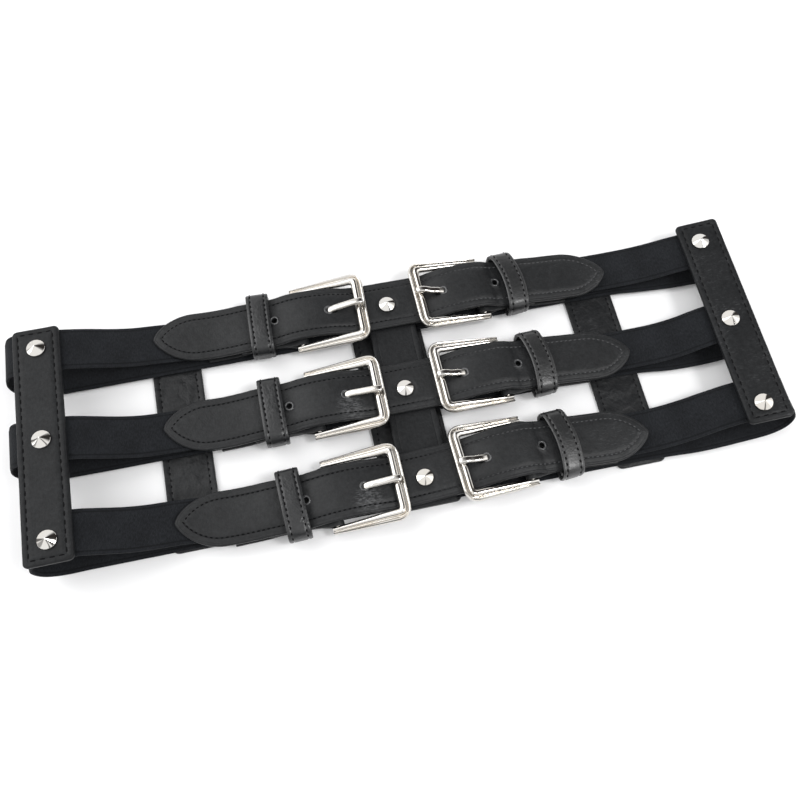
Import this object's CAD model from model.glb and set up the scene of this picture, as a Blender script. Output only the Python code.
import random
from bisect import bisect_left, bisect_right
from math import atan, copysign, cos, exp, hypot, pi, radians, sin, tan

import bmesh
import bpy
from mathutils import Euler, Matrix, Vector


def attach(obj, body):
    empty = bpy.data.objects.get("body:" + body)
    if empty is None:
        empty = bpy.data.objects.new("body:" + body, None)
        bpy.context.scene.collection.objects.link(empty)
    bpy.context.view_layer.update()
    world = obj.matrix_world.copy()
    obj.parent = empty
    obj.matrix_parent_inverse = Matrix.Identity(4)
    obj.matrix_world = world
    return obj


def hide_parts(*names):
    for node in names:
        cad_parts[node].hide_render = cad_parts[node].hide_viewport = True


# Waist belt with three buckled straps. Each piece is modelled in millimetres and
# turned to metres when it is laid in its place.

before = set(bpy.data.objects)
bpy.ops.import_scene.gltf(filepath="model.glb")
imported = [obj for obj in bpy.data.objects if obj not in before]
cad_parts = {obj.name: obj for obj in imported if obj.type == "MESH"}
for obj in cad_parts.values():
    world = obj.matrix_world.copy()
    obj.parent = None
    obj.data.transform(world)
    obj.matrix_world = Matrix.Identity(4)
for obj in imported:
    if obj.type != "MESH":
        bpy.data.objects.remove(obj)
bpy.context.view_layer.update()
random.seed(7)

boxShift = 1.84  # the belt's box is centred on the origin
gap = 0.3        # between a piece and its seat
up = Vector((0, 0, 1))


# Small helpers
def pickUp(obj, *others):
    if bpy.context.object and bpy.context.object.mode != "OBJECT":
        bpy.ops.object.mode_set(mode="OBJECT")
    bpy.ops.object.select_all(action="DESELECT")
    for each in (obj, *others):
        each.select_set(True)
    bpy.context.view_layer.objects.active = obj


def edit(obj):
    pickUp(obj)
    bpy.ops.object.mode_set(mode="EDIT")


def leaveEdit():
    bpy.ops.object.mode_set(mode="OBJECT")


def join(obj, *others):
    pickUp(obj, *others)
    bpy.ops.object.join()
    return obj


def drop(obj):
    bpy.data.objects.remove(obj, do_unlink=True)


def choose(obj, kind, test):  # selects what passes the test, in edit mode
    bpy.ops.mesh.select_mode(type=kind)
    bpy.ops.mesh.select_all(action="DESELECT")
    mesh = bmesh.from_edit_mesh(obj.data)
    for item in {"VERT": mesh.verts, "EDGE": mesh.edges, "FACE": mesh.faces}[kind]:
        if test(item):
            item.select_set(True)
    mesh.select_flush_mode()
    bmesh.update_edit_mesh(obj.data)


def apply(obj, kind, **values):
    pickUp(obj)
    modifier = obj.modifiers.new(kind.title(), kind)
    for name, value in values.items():
        setattr(modifier, name, value)
    bpy.ops.object.modifier_apply(modifier=modifier.name)


def bevel(obj, width, segments, angle):
    apply(obj, "BEVEL", width=width, segments=segments, limit_method="ANGLE", angle_limit=radians(angle))


def cutOut(obj, cutter):
    apply(obj, "BOOLEAN", object=cutter, operation="DIFFERENCE", solver="EXACT")
    drop(cutter)


def extrude(x, y, z):
    bpy.ops.mesh.extrude_region_move(TRANSFORM_OT_translate={"value": (x, y, z)})


def turnOut():  # the faces of the whole mesh, in edit mode
    bpy.ops.mesh.select_all(action="SELECT")
    bpy.ops.mesh.normals_make_consistent(inside=False)
    leaveEdit()


def slicesAlong(obj, axis, places):  # cross cuts so that the piece can bend
    edit(obj)
    normal = [1 if i == axis else 0 for i in range(3)]
    for place in places:
        bpy.ops.mesh.select_all(action="SELECT")
        bpy.ops.mesh.bisect(plane_co=[place * n for n in normal], plane_no=normal)
    leaveEdit()


def span(low, high, step):
    count = max(1, round((high - low) / step))
    return [low + (high - low) * i / count for i in range(1, count)]


def around(centre, reaches):  # the same distances on both sides of a place
    return [centre - away for away in reversed(reaches)] + [centre + away for away in reaches]


def reshape(obj, move):  # moves every vertex by a rule
    for vertex in obj.data.vertices:
        vertex.co = move(vertex.co)
    obj.data.update()


def newCube(name, x, y, z, place=(0, 0, 0)):
    bpy.ops.mesh.primitive_cube_add(size=1, location=(0, 0, 0))
    obj = bpy.context.object
    obj.name = name
    obj.data.transform(Matrix.Translation(place) @ Matrix.Diagonal((x, y, z, 1)))
    return obj


def roundCutter(x, y, radius, z=0):
    bpy.ops.mesh.primitive_cylinder_add(vertices=24, radius=radius, depth=9)
    obj = bpy.context.object
    obj.data.transform(Matrix.Translation((x, y, z)))
    return obj


def newObject(name, data):
    obj = bpy.data.objects.new(name, data)
    bpy.context.collection.objects.link(obj)
    return obj


def fromFaces(name, verts, faces):
    mesh = bpy.data.meshes.new(name)
    mesh.from_pydata(verts, [], faces)
    return newObject(name, mesh)


def finish(obj, node, material, smooth=35):
    obj.data.transform(Matrix.Translation((boxShift * 0.001, 0, 0)) @ Matrix.Scale(0.001, 4))
    obj.data.materials.clear()
    obj.data.materials.append(material)
    pickUp(obj)
    bpy.ops.object.shade_smooth_by_angle(angle=radians(smooth))
    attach(obj, "root")
    if node:
        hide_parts(node)
    return obj


# Camera
camera = {"eye": (-39.4, -131.5, 349.8), "target": (-1.51, -4.4, 4.31), "roll": 4.8, "lens": 35.37}


def addCamera():
    eye = Vector(camera["eye"]) * 0.001
    back = (eye - Vector(camera["target"]) * 0.001).normalized()
    right = up.cross(back).normalized()
    above, roll = back.cross(right), radians(camera["roll"])
    turn = Matrix((right * cos(roll) + above * sin(roll), above * cos(roll) - right * sin(roll), back))
    data = bpy.data.cameras.new("camera")
    data.lens = camera["lens"]
    data.sensor_width = 36
    data.clip_start = 0.01
    obj = newObject("camera", data)
    obj.matrix_world = Matrix.Translation(eye) @ turn.transposed().to_4x4()
    bpy.context.scene.camera = obj


addCamera()
print("camera set")


# Materials
def plug(tree, made, sockets):  # sets a node's sockets, or links what feeds them
    for key, value in sockets.items():
        if isinstance(value, bpy.types.NodeSocket):
            tree.links.new(value, made.inputs[key])
        else:
            made.inputs[key].default_value = value


def node(tree, kind, sockets={}, **options):
    made = tree.nodes.new(kind)
    for name, value in options.items():
        setattr(made, name, value)
    plug(tree, made, sockets)
    return made


def newMaterial(name):
    material = bpy.data.materials.new(name)
    material.use_nodes = True
    tree = material.node_tree
    return material, tree, next(n for n in tree.nodes if n.type == "BSDF_PRINCIPLED")


def onObject(tree):
    return node(tree, "ShaderNodeTexCoord").outputs["Object"]


def split(tree, source):
    return node(tree, "ShaderNodeSeparateXYZ", {"Vector": source}).outputs


def noise(tree, place, scale, detail, rough=0.5, twist=0.0):
    sockets = {"Vector": place, "Scale": scale, "Detail": detail, "Roughness": rough, "Distortion": twist}
    return node(tree, "ShaderNodeTexNoise", sockets).outputs["Fac"]


def stretch(tree, place, scale):
    return node(tree, "ShaderNodeMapping", {"Vector": place, "Scale": scale}).outputs["Vector"]


def ramp(tree, source, stops):
    made = node(tree, "ShaderNodeValToRGB", {"Fac": source})
    bar = made.color_ramp
    while len(bar.elements) < len(stops):
        bar.elements.new(0.5)
    for element, (place, value) in zip(bar.elements, stops):
        element.position = place
        element.color = (*value, 1) if isinstance(value, tuple) else (value, value, value, 1)
    return made.outputs["Color"]


def maths(tree, kind, *values):
    return node(tree, "ShaderNodeMath", dict(enumerate(values)), operation=kind).outputs["Value"]


def times(tree, first, second):
    return maths(tree, "MULTIPLY", first, second)


def weigh(tree, first, share, second, other):  # sum of two sources by their shares
    return maths(tree, "ADD", times(tree, first, share), times(tree, second, other))


def fade(tree, source, low, high, start, end):
    sockets = {"Value": source, "From Min": low, "From Max": high, "To Min": start, "To Max": end}
    made = node(tree, "ShaderNodeMapRange", sockets, interpolation_type="SMOOTHSTEP")
    return made.outputs["Result"]


def mix(tree, share, first, second):
    return node(tree, "ShaderNodeMix", {"Factor": share, 6: first, 7: second}, data_type="RGBA").outputs[2]


def bump(tree, height, strength, distance, under=None):
    made = node(tree, "ShaderNodeBump", {"Height": height, "Strength": strength, "Distance": distance})
    if under:
        plug(tree, made, {"Normal": under})
    return made.outputs["Normal"]


# Each noise is given as its scale per metre, detail, roughness and twist
leatherLook = {
    "dark": (0.0062, 0.0066, 0.0073),
    "light": (0.0158, 0.0166, 0.0178),
    "scuff": (0.036, 0.037, 0.039, 1),
    "scuffs": 0.2,      # share of the scuffs that show, more on the right tips
    "rubbed": (0.085, 0.087, 0.09, 1),
    "rubs": [(-0.024, -0.006, 0.0155), (-0.025, -0.05, 0.0155)],  # worn spots by two tongues
    "rubReach": (0.003, 0.0095),
    "cloud": (55, 5, 0.6),
    "mottle": (620, 2, 0.6),
    "scratch": (1, 3, 0.65, 0.4),
    "scratchScale": (420, 1500, 900),
    "folds": (170, 3, 0.5, 0.6),
    "crease": 0.35,     # strength and depth of the folds
    "creaseDepth": 0.00045,
    "grain": 1150,      # cells per metre
    "pores": (2645, 3, 0.6),
    "grainDepth": 0.00012,
    "specular": 0.29,
    "rough": 0.4,
    "coat": 0,
}


def leatherMaterial(name, **changes):
    look = dict(leatherLook, **changes)
    material, tree, shader = newMaterial(name)
    place = onObject(tree)
    cells = node(tree, "ShaderNodeTexVoronoi", {"Vector": place, "Scale": look["grain"], "Smoothness": 0.45},
                 feature="SMOOTH_F1").outputs["Distance"]
    pores, cloud, folds, mottle = (noise(tree, place, *look[kind]) for kind in
                                   ("pores", "cloud", "folds", "mottle"))
    shade = ramp(tree, weigh(tree, cloud, 0.45, mottle, 0.55), [(0.34, look["dark"]), (0.68, look["light"])])
    scratch = noise(tree, stretch(tree, place, look["scratchScale"]), *look["scratch"])
    along = times(tree, split(tree, place)["X"], 5)
    patches = times(tree, ramp(tree, scratch, [(0.54, 0.0), (0.68, 1.0)]),
                    ramp(tree, cloud, [(0.44, 0.0), (0.6, 1.0)]))
    scuffs = times(tree, patches, ramp(tree, along, [(0.3, look["scuffs"]), (0.45, 1.0)]))
    shade = mix(tree, scuffs, shade, look["scuff"])
    near = 0.0
    for spot in look["rubs"]:
        away = node(tree, "ShaderNodeVectorMath", {0: place, 1: spot}, operation="DISTANCE").outputs["Value"]
        near = maths(tree, "MAXIMUM", fade(tree, away, *look["rubReach"], 1, 0), near)
    worn = times(tree, near, ramp(tree, scratch, [(0.44, 0.0), (0.66, 1.0)]))
    creases = bump(tree, folds, look["crease"], look["creaseDepth"])
    grain = maths(tree, "ADD", cells, times(tree, pores, 0.35))
    plug(tree, shader, {
        "Base Color": mix(tree, worn, shade, look["rubbed"]),
        "Roughness": maths(tree, "MULTIPLY_ADD", pores, 0.16, look["rough"]),
        "Normal": bump(tree, grain, 0.5, look["grainDepth"], creases),
        "Specular IOR Level": look["specular"], "Coat Weight": look["coat"], "Coat Roughness": 0.2,
    })
    return material


elasticLook = {
    "dark": (0.0042, 0.0048, 0.0058),
    "light": (0.0212, 0.0232, 0.0272),
    "rib": 0.00085,     # pitch of the ribs across the band, metres
    "warp": 0.0006,     # pitch of the threads along it
    "flecks": (1500, 2, 0.7),
    "fleckScale": (1.0, 0.45, 1.0),
    "wear": (90, 3),
    "depth": 0.0002,
    "selvage": 0.0084,  # line along each edge, metres from the middle
}


def elasticMaterial(name, look):
    material, tree, shader = newMaterial(name)
    uv = node(tree, "ShaderNodeUVMap", uv_map="cloth").outputs["UV"]
    ways = split(tree, uv)
    ribs, warps = (maths(tree, "SINE", times(tree, ways[axis], 2 * pi / look[pitch]))
                   for axis, pitch in (("X", "rib"), ("Y", "warp")))
    flecks = noise(tree, stretch(tree, uv, look["fleckScale"]), *look["flecks"])
    away = maths(tree, "DIVIDE", maths(tree, "ABSOLUTE", ways["Y"]), 0.01)
    line = look["selvage"] / 0.01
    edge = ramp(tree, away, [(line - 0.05, 0.0), (line, 1.0), (line + 0.05, 0.0)])
    knit = times(tree, times(tree, ribs, warps), 0.3)
    height = maths(tree, "SUBTRACT", maths(tree, "ADD", knit, flecks), times(tree, edge, 0.45))
    tone = weigh(tree, height, 0.7, noise(tree, uv, *look["wear"]), 0.35)
    plug(tree, shader, {
        "Base Color": ramp(tree, tone, [(0.35, look["dark"]), (0.85, look["light"])]),
        "Normal": bump(tree, height, 0.8, look["depth"]),
        "Roughness": 0.82, "Specular IOR Level": 0.14, "Sheen Weight": 0.02, "Sheen Roughness": 0.5,
    })
    return material


metalLook = {
    "colour": (0.66, 0.64, 0.61), "warmth": (1.0, 0.975, 0.94), "tint": (70, 2),
    "smooth": 0.12, "rough": 0.2, "haze": (160, 4, 0.6),
    "ripple": 0.03, "waves": (240, 1),
}


def metalMaterial(name, look):
    material, tree, shader = newMaterial(name)
    place = onObject(tree)
    tint, haze, waves = (noise(tree, place, *look[kind]) for kind in ("tint", "haze", "waves"))
    warm = tuple(c * f for c, f in zip(look["colour"], look["warmth"]))
    plug(tree, shader, {
        "Base Color": ramp(tree, tint, [(0.4, look["colour"]), (0.7, warm)]),
        "Roughness": ramp(tree, haze, [(0.35, look["smooth"]), (0.75, look["rough"])]),
        "Normal": bump(tree, waves, look["ripple"], 0.0003),
        "Metallic": 1.0,
    })
    return material


threadLook = {
    "black": ((0.0018, 0.0019, 0.0022), (0.0045, 0.0047, 0.0052)),
    "pale": ((0.036, 0.037, 0.039), (0.105, 0.106, 0.109)),
    "fibre": (4200, 2),
}


def threadMaterial(name, rubbed, look=threadLook):  # the rubbed thread is paler on the right straps
    material, tree, shader = newMaterial(name)
    place = onObject(tree)
    fibre = noise(tree, place, *look["fibre"])

    def tone(kind):
        return ramp(tree, fibre, list(zip((0.35, 0.7), look[kind])))

    shade = tone("black")
    if rubbed:
        along = times(tree, split(tree, place)["X"], 5)
        side = ramp(tree, along, [(0.0, 0.0), (0.08, 0.5), (0.26, 1.0)])
        shade = mix(tree, side, shade, tone("pale"))
    plug(tree, shader, {"Base Color": shade, "Normal": bump(tree, fibre, 0.5, 0.0001),
                        "Roughness": 0.7, "Specular IOR Level": 0.1})
    return material


leather = leatherMaterial("charcoal leather")
smoothLeather = leatherMaterial("smooth leather", specular=0.18)
rearLeather = leatherMaterial("creased leather", creaseDepth=0.0014, crease=0.45, specular=0.24, rough=0.34)
rimLeather = leatherMaterial("pressed leather", dark=(0.02, 0.0205, 0.022), light=(0.05, 0.051, 0.054),
                             specular=0.9, rough=0.2)
keeperLeather = leatherMaterial("waxed leather", creaseDepth=0.0008, crease=0.5, specular=0.55, rough=0.26,
                                scuffs=0)
polishedLeather = leatherMaterial("polished leather", dark=(0.0035, 0.0038, 0.0043),
                                  light=(0.0095, 0.01, 0.0108), creaseDepth=0.0005, crease=0.5,
                                  specular=0.8, rough=0.3, coat=0.12, scuffs=0)
elastic = elasticMaterial("woven elastic", elasticLook)
nickel = metalMaterial("polished nickel", metalLook)
turned = metalMaterial("turned nickel", dict(metalLook, colour=(0.66, 0.645, 0.62), smooth=0.05, rough=0.1,
                                             ripple=0.01))
thread = threadMaterial("black thread", False)
rubbedThread = threadMaterial("rubbed thread", True)
print("materials made")


# The belt's layout
rows = [
    {"y": 44, "leftTip": -111.6, "rightTip": 110, "stud": (0.2, 43.4), "fold": 27.4},
    {"y": 0, "leftTip": -111.6, "rightTip": 109.4, "stud": (-0.3, -1.1), "fold": 27},
    {"y": -44, "leftTip": -111.3, "rightTip": 105, "stud": (-0.8, -44.8), "fold": 20.8},
]
sides = [
    {"name": "left", "sign": -1, "frontBar": 10.7, "crossing": 16.8, "swing": (1.4, -0.9, 0),
     "keeper": (61.3, 62.2, 60.2), "keeperTurn": (-0.03, 0, 0.05)},
    {"name": "right", "sign": 1, "frontBar": 14.4, "crossing": 13.1, "swing": (1.7, 1.0, 0.8),
     "keeper": (61.2, 63.4, 63.8), "keeperTurn": (0.1, 0.07, 0.08)},
]
heelReach = 32.2  # from a buckle's front bar to its heel bar

# x, then height and sideways drift, each the same for all rows or given for rows 1 to 3
strapRoute = [
    (-111.6, (10.4, 10.2, 11.6), (1.6, 0.6, 0.2)),
    (-100, (9.2, 9.1, 9.6), (0.9, -0.2, -0.5)),
    (-86, (8.6, 8.6, 8.7), (0.3, -0.8, -1)),
    (-76, 8.9, (0.2, -0.6, -1)),
    (-70, 9.4, (0.3, -0.3, -0.9)),
    (-54.7, 9.4, (0.6, 0.2, -0.8)),
    (-52, 10.1, (0.6, 0.2, -0.7)),
    (-48, 11.3, (0.6, 0.2, -0.6)),
    (-42, 12.3, (0.5, 0.1, -0.4)),
    (-35, 12.5, (0.3, 0, -0.2)),
    (-30, 12, (0.2, 0, -0.1)),
    (-25, 11, (0.1, 0, -0.1)),
    (-20, 9.5, 0),
    (-16, 8.6, 0),
    (-10.7, 8.2, (0, 0, 0.1)),
    (0, 8.2, (0, 0, 0.5)),
    (14.4, 8.2, (0, 0, 1.2)),
    (19.5, 8.6, (0, 0, 1.5)),
    (23, 9.7, (0.1, 0.1, 1.7)),
    (27, 11, (0.1, 0.1, 1.9)),
    (31.5, 12, (0.2, 0.1, 2.2)),
    (38, 12.5, (0.4, 0.2, 2.5)),
    (46.6, 12.2, (0.5, 0.3, 2.8)),
    (50.8, 10.9, (0.5, 0.3, 2.8)),
    (54.6, 9.4, (0.3, 0.1, 2.7)),
    (70, 9.4, (-0.5, -0.6, 2)),
    (76, 8.9, (-0.8, -0.9, 1.7)),
    (88, 8.6, (-1.4, -1.8, 1.1)),
    (100, (8.8, 8.8, 9.2), (-2.6, -2.8, 0.3)),
    (110, (9.6, 9.4, 10.4), (-3.7, -3.6, -1.2)),
]
bandRoute = [
    (-73.8, 6.2, (0.2, -0.4, -0.8)),
    (-88, (6.2, 6.2, 6.3), (0.3, -0.3, -0.2)),
    (-100, (6.7, 6.6, 7.3), (0.4, -0.2, 0.8)),
    (-111, (8, 7.4, 9), (0.6, -0.1, 1.3)),
    (-121, (10.1, 9.2, 11.7), (0.3, -0.2, 1)),
    (-130, (13.1, 12.4, 15), (0.2, 0, 1)),
    (-139, (17, 17.2, 19.3), (0.1, 0.2, 1.4)),
    (-147, (20.6, 21.4, 22.4), (-0.3, 0.4, 2)),
    (-152, (21.7, 22.6, 23.5), (-0.2, 0.6, 2.1)),
    (-160, (21.9, 22.8, 23.8), (0.1, 0.9, 2)),
    (-168, (21.8, 22.7, 23.7), (0.6, 1.4, 1.8)),
    (-175.4, (18.8, 19.6, 20.3), (1, 2, 1.2)),
    (-178.2, (12.4, 12.8, 13.3), (0, 1.6, 0.6)),
    (-175.2, 5.8, (-1.8, 0.6, 0.2)),
    (-167, 2.9, (-3.2, -0.6, 0)),
    (-150, 2.9, (-3.7, -1.1, 0)),
    (-105, 2.9, (-3.6, -1.3, -0.2)),
    (0, 2.9, (-3.4, -2, -1.2)),
    (98, 2.9, (-3.4, -2.6, -1.8)),
    (115, 2.9, (-3.6, -3.2, -2.3)),
    (130, 2.9, (-4.8, -4.8, -3)),
    (150, 2.9, (-5.8, -4.9, -2.4)),
    (165, 3.1, (-5.4, -3.6, -1.4)),
    (171, 5, (-4.4, -2, 0)),
    (173.2, (9.2, 9.6, 10), (-3.2, -0.4, 1.6)),
    (171.4, (13.2, 14.4, 15.6), (-2.2, 0.6, 3)),
    (166, (14.4, 15.8, 17.3), (-1.8, 0.9, 3.4)),
    (158, (13.4, 14.7, 16.1), (-1.9, 0.7, 3.5)),
    (151, (12.2, 13.5, 14.9), (-1.9, 0.6, 3.5)),
    (144, (10.9, 11.9, 13.4), (-1.9, 0, 3.3)),
    (135, (8.6, 9.2, 10.6), (-1.8, -0.8, 2.8)),
    (125, (7.1, 7.3, 8.8), (-1.7, -1.2, 1.8)),
    (112, (6.6, 6.5, 7.3), (-1.7, -1.2, 1)),
    (100, (6.3, 6.3, 6.6), (-1.5, -1.2, 0.9)),
    (88, 6.2, (-1.2, -1.2, 1.1)),
    (74.4, 6.2, (-0.8, -0.8, 1.6)),
]


def routeOf(table, r):  # one row's own places
    def own(value):
        return value[r] if isinstance(value, tuple) else value
    return [(x, rows[r]["y"] + own(drift), own(z)) for x, z, drift in table]


strapPlaces = [routeOf(strapRoute, r) for r in range(3)]


def strapPoint(r, x):  # cubic through the route's places
    run = strapPlaces[r]
    last, within = len(run) - 1, min(max(x, run[0][0]), run[-1][0])
    i = next(i for i in range(last) if within <= run[i + 1][0])
    before, start, end, after = (run[min(max(k, 0), last)] for k in range(i - 1, i + 3))
    width = end[0] - start[0]
    t = (within - start[0]) / width
    place = [x]
    for axis in (1, 2):
        into = (end[axis] - before[axis]) / (end[0] - before[0]) * width
        away = (after[axis] - start[axis]) / (after[0] - start[0]) * width
        place.append(start[axis] * (2 * t ** 3 - 3 * t ** 2 + 1) + into * (t ** 3 - 2 * t ** 2 + t)
                     + end[axis] * (3 * t ** 2 - 2 * t ** 3) + away * (t ** 3 - t ** 2))
    return Vector(place)


def straightPoint(r, x):  # straight between the route's places, as the buckles are set
    run = strapPlaces[r]
    start, end = next(pair for pair in zip(run, run[1:]) if x <= pair[1][0])
    t = (x - start[0]) / (end[0] - start[0])
    return Vector((x, start[1] * (1 - t) + end[1] * t, start[2] * (1 - t) + end[2] * t))


def buckleEnds(side, r):  # the middles of the front bar and the heel bar
    return [straightPoint(r, side["sign"] * (side["frontBar"] + reach)) for reach in (0, heelReach)]


# Leather plates and stitches
stitch = {
    "length": 1.6, "pitch": 2.25, "thick": 0.66,
    "shape": {0: (1, 0.12), 30: (0.95, 0), 50: (0.55, -0.75)},  # share from the middle: girth and lift
}


def baseStitch():  # one lock stitch, a thread that rises out of the leather and dips back
    bpy.ops.mesh.primitive_cylinder_add(vertices=6, radius=0.5, depth=1, rotation=(0, pi / 2, 0))
    obj = bpy.context.object
    bpy.ops.object.transform_apply(rotation=True)
    slicesAlong(obj, 0, (-0.3, 0, 0.3))
    for vertex in obj.data.vertices:
        girth, lift = stitch["shape"][round(abs(vertex.co.x) * 100)]
        vertex.co.y *= girth
        vertex.co.z = vertex.co.z * girth + lift
    return obj


def marksAlong(line):  # how far along the line each point lies
    marks = [0.0]
    for a, b in zip(line, line[1:]):
        marks.append(marks[-1] + (b - a).length)
    return marks


def evenly(points, pitch):  # places and directions at even steps round a closed line
    run = points + [points[0]]
    marks = marksAlong(run)
    count = max(1, round(marks[-1] / pitch))
    found = []
    for k in range(count):
        at = marks[-1] * (k + 0.5) / count
        i = bisect_left(marks, at) - 1
        t = (at - marks[i]) / (marks[i + 1] - marks[i])
        found.append((run[i].lerp(run[i + 1], t), (run[i + 1] - run[i]).normalized()))
    return found


def sew(name, places, lay=None, length=stitch["length"], cord=thread):  # one mesh of a seam's stitches
    base = baseStitch()
    shape = [v.co.copy() for v in base.data.vertices]
    sidesOfIt = [tuple(p.vertices) for p in base.data.polygons]
    drop(base)
    thick = stitch["thick"]
    verts, faces = [], []
    for place, along in places:
        ends = [place - along * (length / 2), place + along * (length / 2)]
        if lay:
            ends = [lay(end) for end in ends]
        x = (ends[1] - ends[0]).normalized()
        x = (x + up.cross(x) * random.uniform(-0.05, 0.05)).normalized()
        y = up.cross(x).normalized()
        z = x.cross(y)
        centre, long = (ends[0] + ends[1]) / 2, (ends[1] - ends[0]).length
        faces.extend(tuple(len(verts) + i for i in face) for face in sidesOfIt)
        verts.extend([centre + x * v.x * long + y * v.y * thick + z * v.z * thick for v in shape])
    return finish(fromFaces(name, verts, faces), None, cord, smooth=60)


def plateOutline(v, inset):  # rectangle with round corners, drawn in from the edge
    halfLength, halfWidth = v["length"] / 2 - inset, v["width"] / 2 - inset
    corner, steps = max(v["corner"] - inset, 0.15), 6
    points = []
    for turn, (x, y) in enumerate([(1, 1), (-1, 1), (-1, -1), (1, -1)]):
        for i in range(steps + 1):
            angle = radians(90 * turn + 90 * i / steps)
            points.append((x * (halfLength - corner) + corner * cos(angle),
                           y * (halfWidth - corner) + corner * sin(angle)))
    return points


def strapOutline(v, inset):  # strip with a blunt gothic point at both ends
    steps, tip = 16, []
    for k in range(steps + 1):
        share = (k / steps) ** 1.5
        tip.append(Vector((-v["tips"] * share, v["width"] / 2 * (1 - (1 - share) ** 2) ** 0.7)))
    quarter = []
    for k, point in enumerate(tip):
        along = (tip[min(k + 1, steps)] - tip[max(k - 1, 0)]).normalized()
        inward = Vector((-1, 0)) if k == 0 else Vector((0, -1)) if k == steps else Vector((along.y, -along.x))
        if inward.x > 0:
            inward = -inward
        place = point + inward * inset
        quarter.append((place.x, max(place.y, 0)))
    axis = min(x for x, y in quarter if y < 0.001) if inset else 0
    quarter = [(min(x, axis), y) for x, y in quarter]
    low, high, back = v["low"], v["high"], quarter[::-1]
    return ([(high + x, y) for x, y in quarter] + [(low - x, y) for x, y in back]
            + [(low - x, -y) for x, y in quarter] + [(high + x, -y) for x, y in back])


def topRings(v):  # inset and height of the rings from the edge inwards
    inset, height, rings = 0, v["thickness"] / 2, []
    for step, rise in v["steps"]:
        inset, height = inset + step, height + rise
        rings.append((inset, height))
    return rings


def seamLine(v, outline=plateOutline):  # along the thread's groove
    rings = topRings(v)
    height, inset = min((height, inset) for inset, height in rings[len(rings) // 2:])
    return [Vector((x, y, height)) for x, y in outline(v, inset)]


def leatherPlate(name, v, outline=plateOutline):  # rolled edge and stepped rims, ring by ring
    top, roll = v["thickness"] / 2, v["roll"]
    rings = [(roll, -top), (roll * 0.3, -top + roll * 0.3), (0, -top + roll), (0, top - roll)] + topRings(v)
    loops = []
    for inset, height in rings:
        places = outline(v, inset)
        bpy.ops.mesh.primitive_circle_add(vertices=len(places), radius=1, fill_type="NOTHING")
        loops.append(bpy.context.object)
        for vertex, (x, y) in zip(loops[-1].data.vertices, places):
            vertex.co = (x, y, height)
    obj = join(*loops)
    obj.name = name
    edit(obj)
    count = len(places)
    mesh = bmesh.from_edit_mesh(obj.data)
    mesh.verts.ensure_lookup_table()
    for low in range(0, (len(rings) - 1) * count, count):  # joins each ring to the next
        for i in range(count):
            n = (i + 1) % count
            mesh.faces.new([mesh.verts[low + j] for j in (i, n, count + n, count + i)])
    bmesh.update_edit_mesh(obj.data)
    for height in (rings[0][1], rings[-1][1]):
        choose(obj, "EDGE", lambda e: e.is_boundary and all(abs(w.co.z - height) < 1e-4 for w in e.verts))
        bpy.ops.mesh.edge_face_add()
    bpy.ops.mesh.select_all(action="SELECT")
    bpy.ops.mesh.remove_doubles(threshold=0.02)
    bpy.ops.mesh.dissolve_degenerate(threshold=0.001)
    turnOut()
    return obj


strapShape = {
    "width": 24.6, "thickness": 2.4, "tips": 20, "roll": 0.75,
    "steps": [(0.25, -0.4), (0.35, 0.17), (0.5, 0.1), (0.2, -0.06), (0.2, 0.1), (1.6, 0.11),
              (0.25, -0.2), (0.25, -0.12), (0.25, 0.14), (0.3, 0.19), (1.8, 0.03)],
    "slice": 1.5,
    "crown": (0.14, 8.2),    # height, half width
    "pucker": 0.04,
    "studHole": 1.6,
    "dimple": (5.2, 0.28),   # pressed ring round the centre stud: radius and depth
    "dimpleCuts": (4.4, 4.8, 5.2, 5.6, 6.0),
    "spare": (54.5, 1.3),    # spare holes: place from the middle and radius
    "lip": (1.95, 0.42),     # their raised rim
    "spareCuts": (0.9, 1.4, 1.8, 2.2, 2.7),
    "tongueHole": (4.6, 3.7),
    "holeSlant": 1.35,
    "rim": (1.8, 0.5),       # pressed ring at each hole: radius and half thickness
    "rimHeight": {"hole": 1.7, "tongue": 1.4},
}


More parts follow.
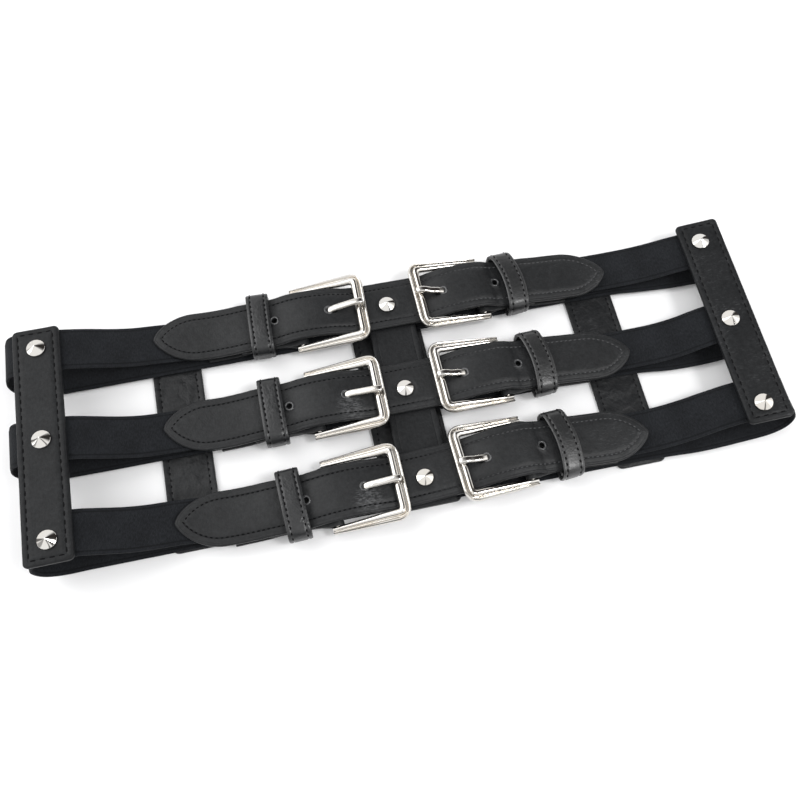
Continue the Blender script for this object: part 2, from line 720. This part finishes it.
def frontStrap(r):
    row = rows[r]
    v = dict(strapShape, low=row["leftTip"], high=row["rightTip"])
    spare, spareRadius = v["spare"]
    obj = leatherPlate(f"strap_{r + 1}", v, strapOutline)
    groove = evenly(seamLine(v, strapOutline), stitch["pitch"])
    fine = around(-spare, v["spareCuts"]) + around(spare, v["spareCuts"])
    fine += around(row["stud"][0], v["dimpleCuts"])
    slicesAlong(obj, 0, span(row["leftTip"], row["rightTip"], v["slice"]) + fine)
    slicesAlong(obj, 1, span(-7.5, 7.5, v["slice"]) + around(0, (1.1, 1.8, 2.2, 4.8, 5.2)))
    lift = random.uniform(0, 9)

    def lay(p):
        high, half = v["crown"]
        crown = high * max(0, 1 - (p.y / half) ** 2) if p.z > 0.3 and abs(p.y) < half else 0
        wave = v["pucker"] * sin(p.x * 0.9 + lift) * sin(p.y * 0.7 + p.x * 0.31)
        at = strapPoint(r, p.x)
        radius, depth = v["dimple"]
        away = (Vector((p.x, at.y + p.y)) - Vector(row["stud"])).length
        wave -= depth * max(0, min(1, (radius + 0.5 - away) / 1.0))
        radius, height = v["lip"]
        for x in (-spare, spare):
            wave += height * exp(-((hypot(p.x - x, p.y) - radius) / 0.5) ** 2)
        return Vector((p.x, at.y + p.y, at.z + p.z + crown + (wave if p.z > 0 else 0)))

    rims = []
    for side in sides:
        sign, (front, heel) = side["sign"], buckleEnds(side, r)
        x = sign * (side["frontBar"] + side["crossing"] + gap)
        y = front.y + (heel.y - front.y) * (x - front.x) / (heel.x - front.x) - strapPoint(r, x).y
        hole = newCube("hole", *v["tongueHole"], 9)
        bevel(hole, 1.6, 6, 40)
        drift = v["holeSlant"] * sign
        reshape(hole, lambda p: Vector((x + p.x - p.z * drift, y + p.y, p.z)))
        cutOut(obj, hole)
        cutOut(obj, roundCutter(sign * spare, 0, spareRadius))
        rims += [("hole", side["name"], sign * spare, 0), ("tongue", side["name"], x + sign * 0.3, y)]
    cutOut(obj, roundCutter(row["stud"][0], row["stud"][1] - strapPoint(r, 0).y, v["studHole"]))
    reshape(obj, lay)
    sew(f"strap_stitches_{r + 1}", groove, lay, cord=rubbedThread)
    major, minor = v["rim"]
    for kind, sideName, x, y in rims:  # pressed rims of the holes
        at = strapPoint(r, x)
        slope = strapPoint(r, x + 0.5).z - strapPoint(r, x - 0.5).z
        bpy.ops.mesh.primitive_torus_add(major_radius=major, minor_radius=minor, major_segments=28,
                                         minor_segments=10)
        rim = bpy.context.object
        rim.name = f"{kind}_rim_{sideName}_{r + 1}"
        rim.data.transform(Matrix.Translation((at.x, at.y + y, at.z + v["rimHeight"][kind]))
                           @ Matrix.Rotation(-atan(slope), 4, "Y") @ Matrix.Diagonal((1, 1, 0.8, 1)))
        finish(rim, None, rimLeather, smooth=60)
    return finish(obj, f"front_strap_{r + 1}", leather)


barShape = {
    "width": 20.4, "length": 108.4, "thickness": 2.6, "corner": 2.2, "roll": 0.8,
    "steps": [(0.25, -0.36), (0.35, 0.2), (0.5, 0.09), (1.0, 0.07), (0.25, -0.12), (0.25, -0.08),
              (0.25, 0.08), (0.3, 0.14), (1.8, 0.02)],
    "slice": 2.0,
    "pucker": 0.07,
    "studHole": 1.6,
    "stitch": (2.8, 3.8),  # length and pitch
}
bars = [
    {"name": "left", "place": (-159.7, 0.3, 23.9), "turn": (-0.0227, 0, 0.0092), "stud": (0.3, -0.3)},
    {"name": "right", "place": (160, 1.1, 16.1), "turn": (-0.0341, -0.162, -0.0217), "stud": (-1.3, -1.5)},
]


def barSetUp(bar):
    return Matrix.Translation(bar["place"]) @ Euler(bar["turn"]).to_matrix().to_4x4()


def sideBar(bar):
    v = barShape
    length, pitch = v["stitch"]
    half = v["length"] / 2
    obj = leatherPlate(f"bar_{bar['name']}", v)
    groove = evenly(seamLine(v), pitch)
    slicesAlong(obj, 0, span(-half, half, v["slice"]))
    slicesAlong(obj, 1, [-5, -2.5, 0, 2.5, 5])
    setUp = (barSetUp(bar) @ Matrix.Translation((0, 0, v["thickness"] / 2))
             @ Matrix.Rotation(pi / 2, 4, "Z"))

    def lay(p):
        wave = v["pucker"] * sin(p.x * 0.43 + 1) * sin(p.y * 0.5 + p.x * 0.17)
        return setUp @ Vector((p.x, p.y, p.z + (wave if p.z > 0 else 0)))

    for row in rows:
        cutOut(obj, roundCutter(row["y"] + bar["stud"][1], -bar["stud"][0], v["studHole"]))
    reshape(obj, lay)
    sew(f"bar_stitches_{bar['name']}", groove, lay, length)
    return finish(obj, f"side_bar_{bar['name']}", smoothLeather)


for r in range(3):
    frontStrap(r)
print("front straps made")
for bar in bars:
    sideBar(bar)
print("side bars made")

backShape = {
    "thickness": 2.0, "corner": 3, "roll": 0.5, "base": 0, "slice": 2.0, "pitch": 3.0, "studHole": 1.7,
    "steps": [(0.15, -0.2), (0.3, 0.17), (0.5, 0.03), (1.2, 0.0), (0.25, -0.12), (0.25, -0.06),
              (0.25, 0.06), (0.3, 0.12), (1.5, 0.02)],
}
backPieces = [
    {"node": "rear_strip_left", "x": -104.3, "width": 22.7, "low": -54.6, "high": 52, "crease": 0.5},
    {"node": "rear_strip_right", "x": 100.9, "width": 23.8, "low": -57.2, "high": 51.5, "crease": 0.34},
    {"node": "rear_centre_panel", "x": -2.4, "width": 34.3, "low": -56.5, "high": 52, "crease": 0.14},
    {"node": "front_centre_panel", "x": 0.6, "width": 22.6, "low": -57.3, "high": 56.3, "crease": 0.05,
     "base": 4.9, "thickness": 1.8, "corner": 1.5,
     "steps": [(0.15, -0.2), (0.3, 0.17), (0.5, 0.03), (1.6, 0), (0.2, -0.13), (0.2, 0.13), (1.0, 0)]},
]


def backPiece(piece):
    v = dict(backShape, **piece)
    name, inFront = piece["node"], v["base"] > 0
    v["length"] = v["high"] - v["low"]
    centre = (v["low"] + v["high"]) / 2
    obj = leatherPlate(name + "_leather", v)
    groove = evenly(seamLine(v), v["pitch"])
    slicesAlong(obj, 0, span(-v["length"] / 2, v["length"] / 2, v["slice"]))
    slicesAlong(obj, 1, span(-v["width"] / 2, v["width"] / 2, 3.2))
    setUp = (Matrix.Translation((v["x"], centre, v["base"] + v["thickness"] / 2))
             @ Matrix.Rotation(pi / 2, 4, "Z"))
    lift = random.uniform(0, 9)

    def lay(p):
        wave = (sin(p.x * 0.55 + p.y * 0.5 + lift) * sin(p.y * 0.35 - p.x * 0.2 + lift)
                + 0.5 * sin(p.x * 1.1 - p.y * 0.45 + 2 * lift + sin(p.y * 0.4)))
        inside = max(0, 1 - (p.y / (v["width"] / 2)) ** 6)
        sink = v["crease"] * (wave - 1.5) * 0.7 * inside
        return setUp @ Vector((p.x, p.y, p.z + (sink if p.z > 0 else 0)))

    for row in rows if inFront else []:
        cutOut(obj, roundCutter(row["stud"][1] - centre, v["x"] - row["stud"][0], v["studHole"]))
    reshape(obj, lay)
    if not inFront:
        sew(name + "_stitches", groove, lay)
    return finish(obj, name, smoothLeather if inFront else rearLeather)


for piece in backPieces:
    backPiece(piece)
print("rear strips and panels made")


# Keepers
keeperShape = {
    "width": 10.4, "half": 16.2, "low": 3.8, "high": 13.0, "wall": 1.6, "corner": 3.8, "lowCorner": 2.6,
    "crown": 1.8,
    "cuts": (-4.3, -3.7, -3.3, -2.9, -2.3, 0, 2.3, 2.9, 3.3, 3.7, 4.3),
    "dents": ((2.9, 0.06), (3.3, 0.3), (3.7, 0.06), (5.2, 0.3)),  # seam groove and edge: place and depth
    "seam": (3.3, 2.7, 0.12),              # place, pitch and depth of the thread
    "bow": {"left": 0, "right": 1.6},      # how far the middle bulges along the strap
    "tilt": {"left": 0.02, "right": 0.1},  # lift of the edge nearer the buckle's left
}


def keeperBase():
    v = keeperShape
    middle = (v["high"] + v["low"]) / 2
    obj = newCube("keeper", v["width"], 2 * v["half"], v["high"] - v["low"], (0, 0, middle))
    edit(obj)
    for height, corner in ((v["high"], v["corner"]), (v["low"], v["lowCorner"])):  # rounder above than below
        choose(obj, "EDGE", lambda e: abs(e.verts[0].co.x - e.verts[1].co.x) > 5
               and abs(e.verts[0].co.z - height) < 0.01)
        bpy.ops.mesh.bevel(offset=corner, segments=7, profile=0.5, affect="EDGES")
    choose(obj, "FACE", lambda f: abs(f.normal.x) > 0.9)
    bpy.ops.mesh.delete(type="FACE")
    slicesAlong(obj, 0, v["cuts"])
    slicesAlong(obj, 1, span(-v["half"] + 4, v["half"] - 4, 2.0))
    edit(obj)
    for away, depth in v["dents"]:
        choose(obj, "VERT", lambda w: abs(abs(w.co.x) - away) < 0.05)
        bpy.ops.transform.shrink_fatten(value=-depth)
    leaveEdit()
    apply(obj, "SOLIDIFY", thickness=v["wall"], offset=-1, use_even_offset=True)
    bevel(obj, 0.3, 2, 50)
    reshape(obj, lambda p: Vector((p.x, p.y, p.z + (v["crown"] * (1 - (p.y / v["half"]) ** 2)
                                                    if p.z > middle else 0))))
    return obj


def keeperSeam(deep):  # round the loop, just under the leather, from a lower corner
    v = keeperShape
    size = {"length": 2 * v["half"], "width": v["high"] - v["low"], "corner": v["corner"]}
    points = [Vector((0, y, z + (v["high"] + v["low"]) / 2)) for y, z in plateOutline(size, deep)]
    lower = len(points) // 4
    return points[-lower:] + points[:-lower]


def placeKeeper(side, r):
    v, label = keeperShape, f"{side['name']}_{r + 1}"
    at = strapPoint(r, side["sign"] * side["keeper"][r])
    setUp = Matrix.Translation((at.x, at.y, 0)) @ Matrix.Rotation(side["keeperTurn"][r], 4, "Z")
    obj = newObject(f"keeper_{label}_leather", keeperLoop.data.copy())

    def lean(p):
        share = (p.z - v["low"]) / (v["high"] - v["low"])
        bow = v["bow"][side["name"]] * (1 - (p.y / v["half"]) ** 2) * share
        return Vector((p.x + bow, p.y, p.z - p.x * v["tilt"][side["name"]] * share))

    reshape(obj, lean)
    obj.data.transform(setUp)
    edge, pitch, deep = v["seam"]
    seam = []
    for x in (-edge, edge):
        for place, along in evenly(keeperSeam(deep), pitch):
            if place.z > 6:
                crown = v["crown"] * (1 - (place.y / v["half"]) ** 2) if place.z > 8.4 else 0
                seam.append((setUp @ lean(place + Vector((x, 0, crown))), setUp.to_3x3() @ along))
    sew(f"keeper_stitches_{label}", seam)
    return finish(obj, f"keeper_{label}", polishedLeather if side["sign"] > 0 else keeperLeather)


keeperLoop = keeperBase()
for side in sides:
    for r in range(3):
        placeKeeper(side, r)
drop(keeperLoop)
print("keepers made")


# Buckles: drawn with x from the front bar's outer edge to the arm ends
frameShape = {
    "front": 1.9, "half": 15.4, "turn": 3.9, "length": 34.8,
    "wide": (5.6, 3.4), "high": (3.2, 2.6),  # of the wire at the front bar and at the arm ends
    "frontHeight": 11.9, "heelHeight": 7.0, "heelRadius": 1.1, "heelLength": 28,
    "knuckle": 0.7,    # swell of the two front corners
}
# section across the wire and up, as shares of half its width and height: bar, groove and outer rim
wireSection = [(1, 0), (0.96, 0.38), (0.85, 0.7), (0.67, 0.92), (0.44, 1), (0.2, 0.93), (0.02, 0.7),
               (-0.1, 0.32), (-0.18, -0.02), (-0.31, -0.05), (-0.41, 0.28), (-0.52, 0.58), (-0.7, 0.7),
               (-0.89, 0.5), (-1, 0), (-0.93, -0.45), (-0.7, -0.82), (-0.35, -1), (0.35, -1),
               (0.7, -0.82), (0.93, -0.45)]


def frameBase():
    v = frameShape
    front, half, turn = v["front"], v["half"], v["turn"]
    bpy.ops.mesh.primitive_circle_add(vertices=len(wireSection), radius=1, fill_type="NGON")
    obj = bpy.context.object
    obj.name = "buckleFrame"
    for vertex, (across, rise) in zip(obj.data.vertices, wireSection):  # at the middle of the front bar
        vertex.co = Vector((front + across * v["wide"][0] / 2, 0, rise * v["high"][0] / 2))
    edit(obj)
    choose(obj, "FACE", lambda f: True)
    extrude(0, half - turn, 0)
    bpy.ops.mesh.spin(steps=10, angle=pi / 2, center=(front + turn, half - turn, 0), axis=(0, 0, 1))
    steps, reach = 6, v["length"] - front - turn
    for i in range(steps):
        extrude(reach / steps, 0, 0)
        before, after = i / steps, (i + 1) / steps
        wide, high = ((1 + (end / start - 1) * after) / (1 + (end / start - 1) * before)
                      for start, end in (v["wide"], v["high"]))
        x = front + turn + reach * after
        bpy.ops.transform.resize(value=(1, wide, high), center_override=(x, half, 0))
    edit(obj)
    choose(obj, "FACE", lambda f: all(abs(w.co.y) < 1e-4 for w in f.verts))
    bpy.ops.mesh.delete(type="FACE")
    leaveEdit()
    apply(obj, "MIRROR", use_axis=(False, True, False), use_clip=True, merge_threshold=0.001)
    edit(obj)
    bpy.ops.mesh.select_all(action="SELECT")
    bpy.ops.mesh.remove_doubles(threshold=0.0005)
    turnOut()
    bevel(obj, 0.25, 2, 70)
    slope = (v["frontHeight"] - v["heelHeight"]) / (heelReach - front)

    def swell(p):
        away = hypot(p.x - front - 1, abs(p.y) - half + 1)
        push = v["knuckle"] * exp(-(away / 2.2) ** 2)
        return Vector((p.x - push * 0.6, p.y + copysign(push, p.y), p.z * (1 + push * 0.35)))

    reshape(obj, swell)
    reshape(obj, lambda p: Vector((p.x, p.y, p.z + v["frontHeight"] - slope * (p.x - front))))
    bpy.ops.mesh.primitive_cylinder_add(vertices=20, radius=v["heelRadius"], depth=v["heelLength"],
                                        rotation=(pi / 2, 0, 0), location=(heelReach, 0, v["heelHeight"]))
    heel = bpy.context.object
    bpy.ops.object.transform_apply(location=True, rotation=True)
    bevel(heel, 0.55, 3, 60)
    return join(obj, heel)


def routeThrough(points):  # centripetal spline through points, as a fine list of places
    points = [Vector(p) for p in points]
    ends = [points[0] * 2 - points[1]] + points + [points[-1] * 2 - points[-2]]
    found = []
    for i in range(1, len(ends) - 2):
        p, t = ends[i - 1:i + 3], [0.0]
        for a, b in zip(p, p[1:]):
            t.append(t[-1] + max((b - a).length, 1e-6) ** 0.5)
        for k in range(24):
            at = t[1] + (t[2] - t[1]) * k / 24
            a, b, c = (p[j].lerp(p[j + 1], (at - t[j]) / (t[j + 1] - t[j])) for j in range(3))
            d, e = a.lerp(b, (at - t[0]) / (t[2] - t[0])), b.lerp(c, (at - t[1]) / (t[3] - t[1]))
            found.append(d.lerp(e, (at - t[1]) / (t[2] - t[1])))
    return found + [points[-1]]


def bender(line, lean=lambda place: 0):  # puts a flat strip's x along a line, y across it and z off it
    marks, last = marksAlong(line), len(line) - 1
    frames = []
    for i, place in enumerate(line):
        along = (line[min(i + 1, last)] - line[max(i - 1, 0)]).normalized()
        angle = lean(place)
        side = Vector((0, cos(angle), sin(angle)))
        side = (side - along * side.dot(along)).normalized()
        frames.append((place, side, along.cross(side)))

    def lay(p):
        i = min(max(bisect_right(marks, p.x) - 1, 0), last - 1)
        t = (p.x - marks[i]) / (marks[i + 1] - marks[i])
        place, side, off = (a.lerp(b, t) for a, b in zip(frames[i], frames[i + 1]))
        return place + side.normalized() * p.y + off.normalized() * p.z
    return lay


def softStrip(name, line, width, thick, roll, step):  # a bar with rolled long edges and ends, x from 0
    length = marksAlong(line)[-1]
    obj = newCube(name, length, width, thick, (length / 2, 0, 0))
    bevel(obj, roll, 4, 40)
    slicesAlong(obj, 0, span(roll, length - roll, step))
    return obj, length


tongueShape = {"width": 3.3, "thick": 2.1, "roll": 0.95, "step": 1.0, "ring": 2.48, "wire": 0.6}


def buckleTongue(name, crossing, swing):
    v, heelX = tongueShape, heelReach
    line = routeThrough([
        (heelX - 2.2, 0, 8.1), (crossing + 7, 0, 8.7), (crossing + 2.9, 0, 10), (crossing + 0.6, 0, 12.1),
        (crossing - 1.6, swing * 0.1, 13.4), (crossing - 5, swing * 0.35, 13.95), (5, swing * 0.75, 14.9),
        (2.5, swing * 0.9, 15.05), (0.5, swing, 14.7)])
    obj, length = softStrip(name, line, v["width"], v["thick"], v["roll"], v["step"])
    edit(obj)
    choose(obj, "VERT", lambda w: w.co.x > length - 0.9)  # rounds the tip in plan
    bpy.ops.transform.resize(value=(1, 0.85, 0.9), center_override=(length, 0, 0))
    leaveEdit()
    reshape(obj, bender(line))
    bpy.ops.mesh.primitive_torus_add(major_radius=v["ring"], minor_radius=v["wire"], major_segments=28,
                                     minor_segments=10, rotation=(pi / 2, 0, 0))
    ring = bpy.context.object
    bpy.ops.object.transform_apply(rotation=True)
    ring.data.transform(Matrix.Translation((heelX, 0, frameShape["heelHeight"]))
                        @ Matrix.Diagonal((1, 2.6, 1, 1)))
    return join(obj, ring)


tabShape = {"width": 24.6, "ply": 1.2, "roll": 0.3, "tail": 88, "ledge": 72.9, "slice": 1.4, "wrap": 2.4,
            "slot": (9, 4.4), "flare": 0.13}


def buckleTab(name, frontBar, bend):
    v, heelX, heelZ = tabShape, heelReach, frameShape["heelHeight"]
    tail, ledge = v["tail"] - frontBar, v["ledge"] - frontBar
    wrap = [(heelX + v["wrap"] * cos(radians(a)), 0, heelZ + v["wrap"] * sin(radians(a)))
            for a in range(-62, -310, -16)]
    line = routeThrough([
        (tail, 0, 4.6), (ledge + 3, 0, 4.6), (ledge - 0.5, 0, 4.9), (ledge - 5, 0, 6.1), (ledge - 12, 0, 6.1),
        (heelX + 6, 0, 6.05), *wrap, (heelX + 6, 0, 7.4), (ledge - 14, 0, 7.3), (ledge - 0.6, 0, 6.9)])
    obj, length = softStrip(name, line, v["width"], v["ply"], v["roll"], v["slice"])
    reshape(obj, bender(line))
    slot = newCube("slot", *v["slot"], 12, (heelX - 0.6, 0, heelZ))
    bevel(slot, 1.2, 3, 40)
    cutOut(obj, slot)
    reshape(obj, lambda p: Vector((p.x, p.y * (1 + v["flare"] * exp(-((p.x - heelX) / 7) ** 2))
                                   + max(p.x - heelX - 4, 0) * tan(bend), p.z)))
    return obj


buckleFrame = frameBase()
for side in sides:
    for r in range(3):
        label, sign = f"{side['name']}_{r + 1}", side["sign"]
        front, heel = buckleEnds(side, r)
        tabEnd = straightPoint(r, sign * 80)
        yaw = atan((heel.y - front.y) / (heel.x - front.x))
        tabYaw = atan((tabEnd.y - heel.y) / (tabEnd.x - heel.x))
        setUp = (Matrix.Translation((front.x, front.y, 0))
                 @ Matrix.Rotation(yaw + (pi if sign < 0 else 0), 4, "Z"))
        wire = newObject(f"frame_{label}_metal", buckleFrame.data.copy())
        tongue = buckleTongue(f"tongue_{label}_metal", side["crossing"], sign * side["swing"][r])
        tab = buckleTab(f"tab_{label}_leather", side["frontBar"], tabYaw - yaw)
        for obj in (wire, tongue, tab):
            obj.data.transform(setUp)
        finish(wire, f"buckle_frame_{label}", nickel, smooth=50)
        finish(tongue, f"buckle_tongue_{label}", nickel, smooth=60)
        finish(tab, f"buckle_tab_{label}", leather)
drop(buckleFrame)
print("buckles made")


# Cone studs
studShape = {
    "height": 2.8, "flange": 0.6, "facets": 20, "post": 1.2, "cap": 2.6, "capThick": 0.7,
    "centreRadius": 4.0, "barRadius": 4.2, "barDepth": 5.0,
}


def coneStud(name, radius, depth, setUp):
    v = studShape
    cone = v["height"] - v["flange"]
    bpy.ops.mesh.primitive_cone_add(vertices=v["facets"], radius1=radius - 0.1, radius2=0, depth=cone,
                                    location=(0, 0, v["flange"] + cone / 2), end_fill_type="NGON")
    obj = bpy.context.object
    obj.name = name + "_metal"
    bpy.ops.object.transform_apply(location=True)
    edit(obj)
    choose(obj, "VERT", lambda w: w.co.z > v["height"] - 0.01)
    bpy.ops.mesh.bevel(offset=0.25, segments=1, affect="VERTICES")
    choose(obj, "FACE", lambda f: f.normal.z < -0.9)
    extrude(0, 0, -v["flange"])
    grow = radius / (radius - 0.1)
    bpy.ops.transform.resize(value=(grow, grow, 1), center_override=(0, 0, 0))
    for size, fall in ((v["post"], depth), (v["cap"], v["capThick"])):  # post and flat cap behind the leather
        extrude(0, 0, 0)
        mesh = bmesh.from_edit_mesh(obj.data)
        chosen = [w.co.copy() for w in mesh.verts if w.select]
        share, z = size / max(place.xy.length for place in chosen), chosen[0].z
        bpy.ops.transform.resize(value=(share, share, 1), center_override=(0, 0, z))
        extrude(0, 0, -fall)
    leaveEdit()
    bevel(obj, 0.15, 2, 35)
    obj.data.transform(setUp)
    finish(obj, name, turned, smooth=12)


for r, row in enumerate(rows):
    seat = straightPoint(r, 0).z + strapShape["thickness"] / 2 + gap
    coneStud(f"stud_centre_{r + 1}", studShape["centreRadius"], seat + gap - backPieces[-1]["base"],
             Matrix.Translation((*row["stud"], seat)))
for bar in bars:
    for r, row in enumerate(rows):
        x, y = bar["stud"]
        place = Matrix.Translation((x, row["y"] + y, barShape["thickness"] + gap))
        coneStud(f"stud_{bar['name']}_{r + 1}", studShape["barRadius"], studShape["barDepth"],
                 barSetUp(bar) @ place)
print("studs made")


# Elastic bands: flat woven strips laid along their routes
bandShape = {"width": 20, "thick": 1.2, "edge": 0.55, "columns": 14, "step": 1.5, "studHole": 1.9,
             "foldStart": 150, "foldReach": 28.2}


def elasticBand(r):
    v, row = bandShape, rows[r]
    tuck = 1 - row["fold"] / v["foldReach"]  # each row's left fold reaches out by its own length
    line = routeThrough([(x + max(-x - v["foldStart"], 0) * tuck, y, z) for x, y, z in routeOf(bandRoute, r)])
    length = marksAlong(line)[-1]

    def lean(place):
        t = min(max((place.z - 6) / 6, 0), 1)
        return bars[0 if place.x < 0 else 1]["turn"][0] * t * t * (3 - 2 * t)

    lay = bender(line, lean)
    half, thin, columns = v["width"] / 2, v["thick"] / 2, v["columns"]
    across = [-half + v["width"] * k / columns for k in range(columns + 1)]
    heights = [thin * (v["edge"] if abs(y) > half - 0.1 else 1) for y in across]
    top = list(zip(across, heights))
    outline = top + [(y, -z) for y, z in reversed(top)]
    stations, count = round(length / v["step"]), len(outline)
    reaches = [length * i / stations for i in range(stations + 1)]
    verts, faces, uvs = [], [], []
    for s in reaches:
        verts.extend(lay(Vector((s, y, z))) for y, z in outline)
    for i in range(stations):
        for k in range(count):
            n = (k + 1) % count
            faces.append((i * count + k, i * count + n, (i + 1) * count + n, (i + 1) * count + k))
            uvs.extend((reaches[i + end], outline[c][0]) for end, c in ((0, k), (0, n), (1, n), (1, k)))
    for start in (0, stations * count):
        for k in range(columns):
            quad = [start + k, start + k + 1, start + count - 2 - k, start + count - 1 - k]
            faces.append(tuple(quad) if start else tuple(reversed(quad)))
            uvs.extend((length * bool(start), outline[i - start][0]) for i in faces[-1])
    obj = fromFaces(f"elastic_{r + 1}", verts, faces)
    for loop, (s, y) in zip(obj.data.uv_layers.new(name="cloth").data, uvs):
        loop.uv = (s * 0.001, y * 0.001)
    edit(obj)
    turnOut()
    for bar in bars:
        x, y = bar["stud"]
        at = barSetUp(bar) @ Vector((x, row["y"] + y, -1))
        cutOut(obj, roundCutter(at.x, at.y, v["studHole"], at.z))
    finish(obj, f"elastic_band_{r + 1}", elastic, smooth=40)
    return obj


for r in range(3):
    elasticBand(r)
print("elastic bands laid")


# Floor and studio light
studio = {
    "sky": (1.22, 1.22, 1.22),
    "shadow": (0.02, 0.016, 0.014),
    # dark cards round the belt: direction, inner and outer angle, how much light they take
    "cards": [
        ((0.5, 0.42, 0.76), 10, 36, 0.98),
        ((0.14, 0.37, 0.92), 4, 30, 0.45),
        ((0.8, 0.55, 0.25), 7, 15, 0.97),
        ((-0.03, -0.63, 0.78), 4, 8, 0.85),
        ((0.31, -0.41, 0.86), 5, 9, 0.85),
        ((-0.93, 0.32, 0.16), 5, 9, 0.85),
        ((-0.92, -0.08, 0.39), 8, 18, 0.6),
        ((0, -0.99, 0.12), 12, 40, 0.85),
    ],
    # soft lights: place, width and depth, power
    "lights": {
        "key": ((0.65, -0.35, 1.15), (0.34, 0.34), 6),
        "side": ((-1.0, 0.35, 0.7), (0.8, 0.6), 3.8),
        "window": ((-0.5, 0.5, 1.2), (0.7, 0.7), 3),
        "low": ((1.25, -0.2, 0.7), (0.8, 0.8), 1),
    },
    "floor": ((0.9, 0.9, 0.905), (0.93, 0.93, 0.935)),
}


def addFloor():
    bpy.ops.mesh.primitive_plane_add(size=6, location=(0, 0, 0))
    obj = bpy.context.object
    obj.name = "floor"
    material, tree, shader = newMaterial("white card")
    mottle = noise(tree, onObject(tree), 6, 2)
    plug(tree, shader, {"Base Color": ramp(tree, mottle, list(zip((0.2, 0.8), studio["floor"]))),
                        "Roughness": 0.8})
    obj.data.materials.append(material)


def addSky():
    world = bpy.data.worlds.new("studio")
    bpy.context.scene.world = world
    world.use_nodes = True
    tree = world.node_tree
    sky = next(n for n in tree.nodes if n.type == "BACKGROUND")
    direction = node(tree, "ShaderNodeTexCoord").outputs["Generated"]
    left = 1.0
    for toward, inner, outer, depth in studio["cards"]:
        facing = node(tree, "ShaderNodeVectorMath", {0: direction, 1: Vector(toward).normalized()},
                      operation="DOT_PRODUCT").outputs["Value"]
        shade = fade(tree, facing, cos(radians(outer)), cos(radians(inner)), 1, 1 - depth)
        left = times(tree, shade, left)
    dim = tuple(c * 0.5 for c in studio["sky"])
    plug(tree, sky, {"Color": ramp(tree, left, [(0.0, studio["shadow"]), (0.5, dim), (1.0, studio["sky"])])})
    plain = node(tree, "ShaderNodeBackground", {"Color": (1, 1, 1, 1)})  # what a low view sees behind
    straight = node(tree, "ShaderNodeLightPath").outputs["Is Camera Ray"]
    seen = node(tree, "ShaderNodeMixShader", {0: straight, 1: sky.outputs[0], 2: plain.outputs[0]})
    end = next(n for n in tree.nodes if n.type == "OUTPUT_WORLD")
    plug(tree, end, {"Surface": seen.outputs[0]})


def addLights():
    for name, (place, size, power) in studio["lights"].items():
        data = bpy.data.lights.new(name, "AREA")
        data.shape = "RECTANGLE"
        data.size, data.size_y = size
        data.energy = power
        back = Vector(place).normalized()
        obj = newObject(name, data)
        obj.matrix_world = Matrix.Translation(place) @ back.to_track_quat("Z", "Y").to_matrix().to_4x4()


addFloor()
addSky()
addLights()
bpy.context.scene.view_settings.view_transform = "Standard"
print("floor and lights set")
